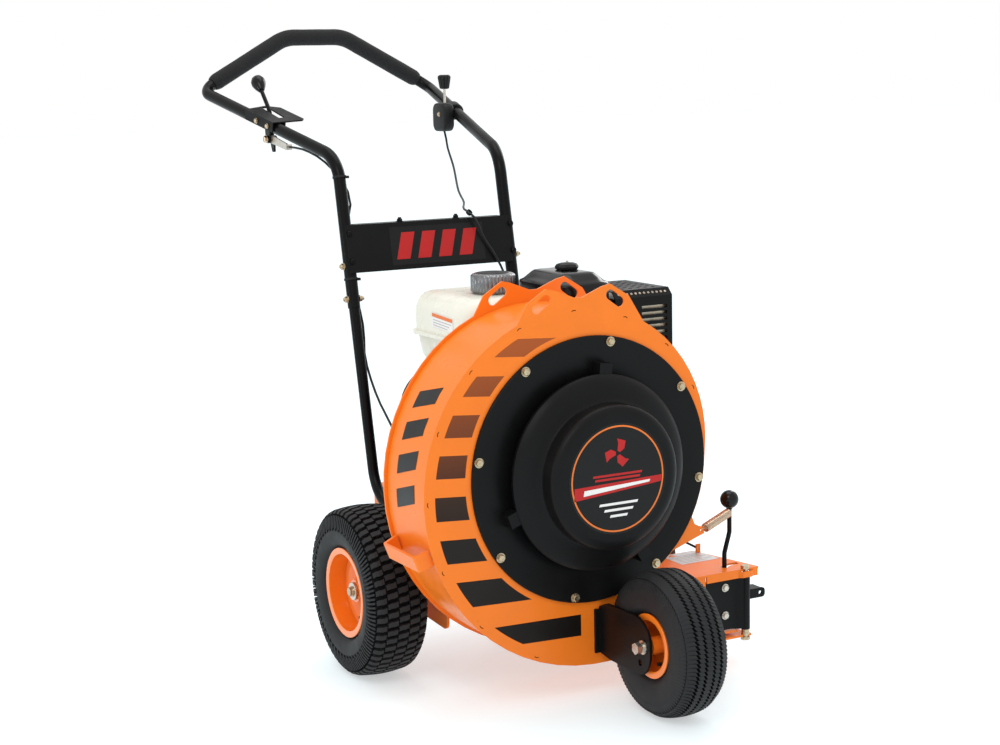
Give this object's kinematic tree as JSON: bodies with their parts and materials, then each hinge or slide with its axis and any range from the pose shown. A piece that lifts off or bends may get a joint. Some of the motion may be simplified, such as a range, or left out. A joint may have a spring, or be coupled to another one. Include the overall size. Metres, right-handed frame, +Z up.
{
  "type": "walk-behind leaf blower",
  "caption": "Wheeled leaf blower with scroll fan housing, dish inlet guard, hinged discharge gate, small engine and looped push handle.",
  "frame": {"origin": "centre of the bounding box's footprint, on the ground under the tyres", "axes": "+Z up; +Y from the front wheel back to the handle; +X across, towards the discharge outlet's side"},
  "size_m": [0.7538, 1.4905, 1.257],
  "materials": {
    "orange_paint": "gloss orange powder coat",
    "black_paint": "satin black powder coat",
    "black_gloss": "gloss black powder coat",
    "bare_steel": "zinc plated steel",
    "spring_steel": "yellow passivated spring wire",
    "cast_alloy": "as cast",
    "cream_plastic": "moulded, slightly glossy",
    "dark_plastic": "moulded, fine grain",
    "gloss_lid": "moulded, polished",
    "knurled_cap": "ribbed grey",
    "tyre_rubber": "moulded rubber",
    "foam": "closed cell foam, matt",
    "cable_jacket": "smooth plastic sleeve"
  },
  "bodies": {
    "chassis": {"front_plate": "orange_paint", "back_plate": "orange_paint", "scroll_band": "orange_paint", "cover_plate": "black_paint", "inlet_guard": "black_paint", "intake_dish": "black_paint", "tie_down_loop": "orange_paint", "discharge_top": "orange_paint", "discharge_floor": "orange_paint", "gate_pin": "bare_steel", "gate_spring": "spring_steel", "engine_deck": "orange_paint", "axle_bracket_right": "orange_paint", "axle_bracket_left": "orange_paint", "rear_axle": "bare_steel", "fork_plate_right": "black_paint", "fork_plate_left": "black_paint", "front_axle": "bare_steel", "crankcase": "cast_alloy", "cylinder_head": "cast_alloy", "fan_shroud": "black_gloss", "recoil_cover": "black_gloss", "fuel_tank": "cream_plastic", "air_cleaner_base": "dark_plastic", "air_cleaner_cover": "gloss_lid", "muffler": "bare_steel", "muffler_guard": "black_paint", "lower_leg_right": "black_gloss", "lower_leg_left": "black_gloss", "upper_handle": "black_gloss", "foam_grip": "foam", "cross_panel": "black_paint", "lever_console": "black_paint", "throttle_box": "dark_plastic", "throttle_cable": "cable_jacket", "gate_cable": "cable_jacket"},
    "rear_wheel_right": {"rear_tyre_right": "tyre_rubber", "rear_rim_right": "orange_paint"},
    "rear_wheel_left": {"rear_tyre_left": "tyre_rubber", "rear_rim_left": "orange_paint"},
    "front_wheel": {"front_tyre": "tyre_rubber", "front_rim": "orange_paint"},
    "fan": {"impeller": "bare_steel", "crankshaft": "bare_steel"},
    "gate": {"gate_panel": "black_paint", "gate_arm": "black_paint", "gate_rod": "black_paint", "gate_ball": "dark_plastic"},
    "gate_lever_body": {"gate_lever": "black_paint", "lever_knob": "dark_plastic"},
    "throttle_lever": {"throttle_stem": "bare_steel", "throttle_knob": "dark_plastic"},
    "fuel_cap_body": {"fuel_cap": "knurled_cap"},
    "air_cleaner_knob_body": {"air_cleaner_knob": "dark_plastic"},
    "recoil_handle_body": {"recoil_handle": "dark_plastic"},
    "engine_switch_body": {"engine_switch": "dark_plastic"},
    "choke_lever_body": {"choke_lever": "dark_plastic"},
    "oil_cap_body": {"oil_cap": "dark_plastic"}
  },
  "joints": [
    {"name": "rear_wheel_right_spin", "type": "hinge", "parent": "chassis", "child": "rear_wheel_right", "pos_m": [-0.31115, -0.09585, 0.165], "axis": [1, 0, 0], "continuous": true},
    {"name": "rear_wheel_left_spin", "type": "hinge", "parent": "chassis", "child": "rear_wheel_left", "pos_m": [0.25085, -0.09585, 0.165], "axis": [1, 0, 0], "continuous": true},
    {"name": "front_wheel_spin", "type": "hinge", "parent": "chassis", "child": "front_wheel", "pos_m": [0.04085, -0.61185, 0.1334], "axis": [1, 0, 0], "continuous": true},
    {"name": "fan_spin", "type": "hinge", "parent": "chassis", "child": "fan", "pos_m": [-0.02415, -0.46185, 0.431], "axis": [0, 1, 0], "continuous": true},
    {"name": "gate_swing", "type": "hinge", "parent": "chassis", "child": "gate", "pos_m": [0.32085, -0.46185, 0.13], "axis": [0, 0, -1], "range_deg": [0, 45]},
    {"name": "gate_lever_pull", "type": "hinge", "parent": "chassis", "child": "gate_lever_body", "pos_m": [-0.24015, 0.48215, 1.0195], "axis": [1, 0, 0], "range_deg": [0, 45]},
    {"name": "throttle_push", "type": "hinge", "parent": "chassis", "child": "throttle_lever", "pos_m": [0.18985, 0.50415, 1.055], "axis": [1, 0, 0], "range_deg": [-25, 25]},
    {"name": "fuel_cap_turn", "type": "hinge", "parent": "chassis", "child": "fuel_cap_body", "pos_m": [-0.06115, -0.17185, 0.75], "axis": [0, 0, 1], "continuous": true},
    {"name": "air_cleaner_knob_turn", "type": "hinge", "parent": "chassis", "child": "air_cleaner_knob_body", "pos_m": [0.10285, -0.17585, 0.77], "axis": [0, 0, 1], "continuous": true},
    {"name": "recoil_pull", "type": "slide", "parent": "chassis", "child": "recoil_handle_body", "axis": [0, 1, 0], "range_m": [0, 0.35], "stiffness_N_per_m": 40},
    {"name": "engine_switch_turn", "type": "hinge", "parent": "chassis", "child": "engine_switch_body", "pos_m": [-0.18215, -0.08985, 0.412], "axis": [1, 0, 0], "range_deg": [0, 45]},
    {"name": "choke_push", "type": "hinge", "parent": "chassis", "child": "choke_lever_body", "pos_m": [0.10385, -0.04685, 0.607], "axis": [0, 0, 1], "range_deg": [-12, 25]},
    {"name": "oil_cap_turn", "type": "hinge", "parent": "chassis", "child": "oil_cap_body", "pos_m": [-0.15415, -0.21185, 0.372], "axis": [1, 0, 0], "continuous": true}
  ],
  "couplings": [
    {"joint": "gate_lever_pull", "follows": "gate_swing", "ratio": 1}
  ]
}
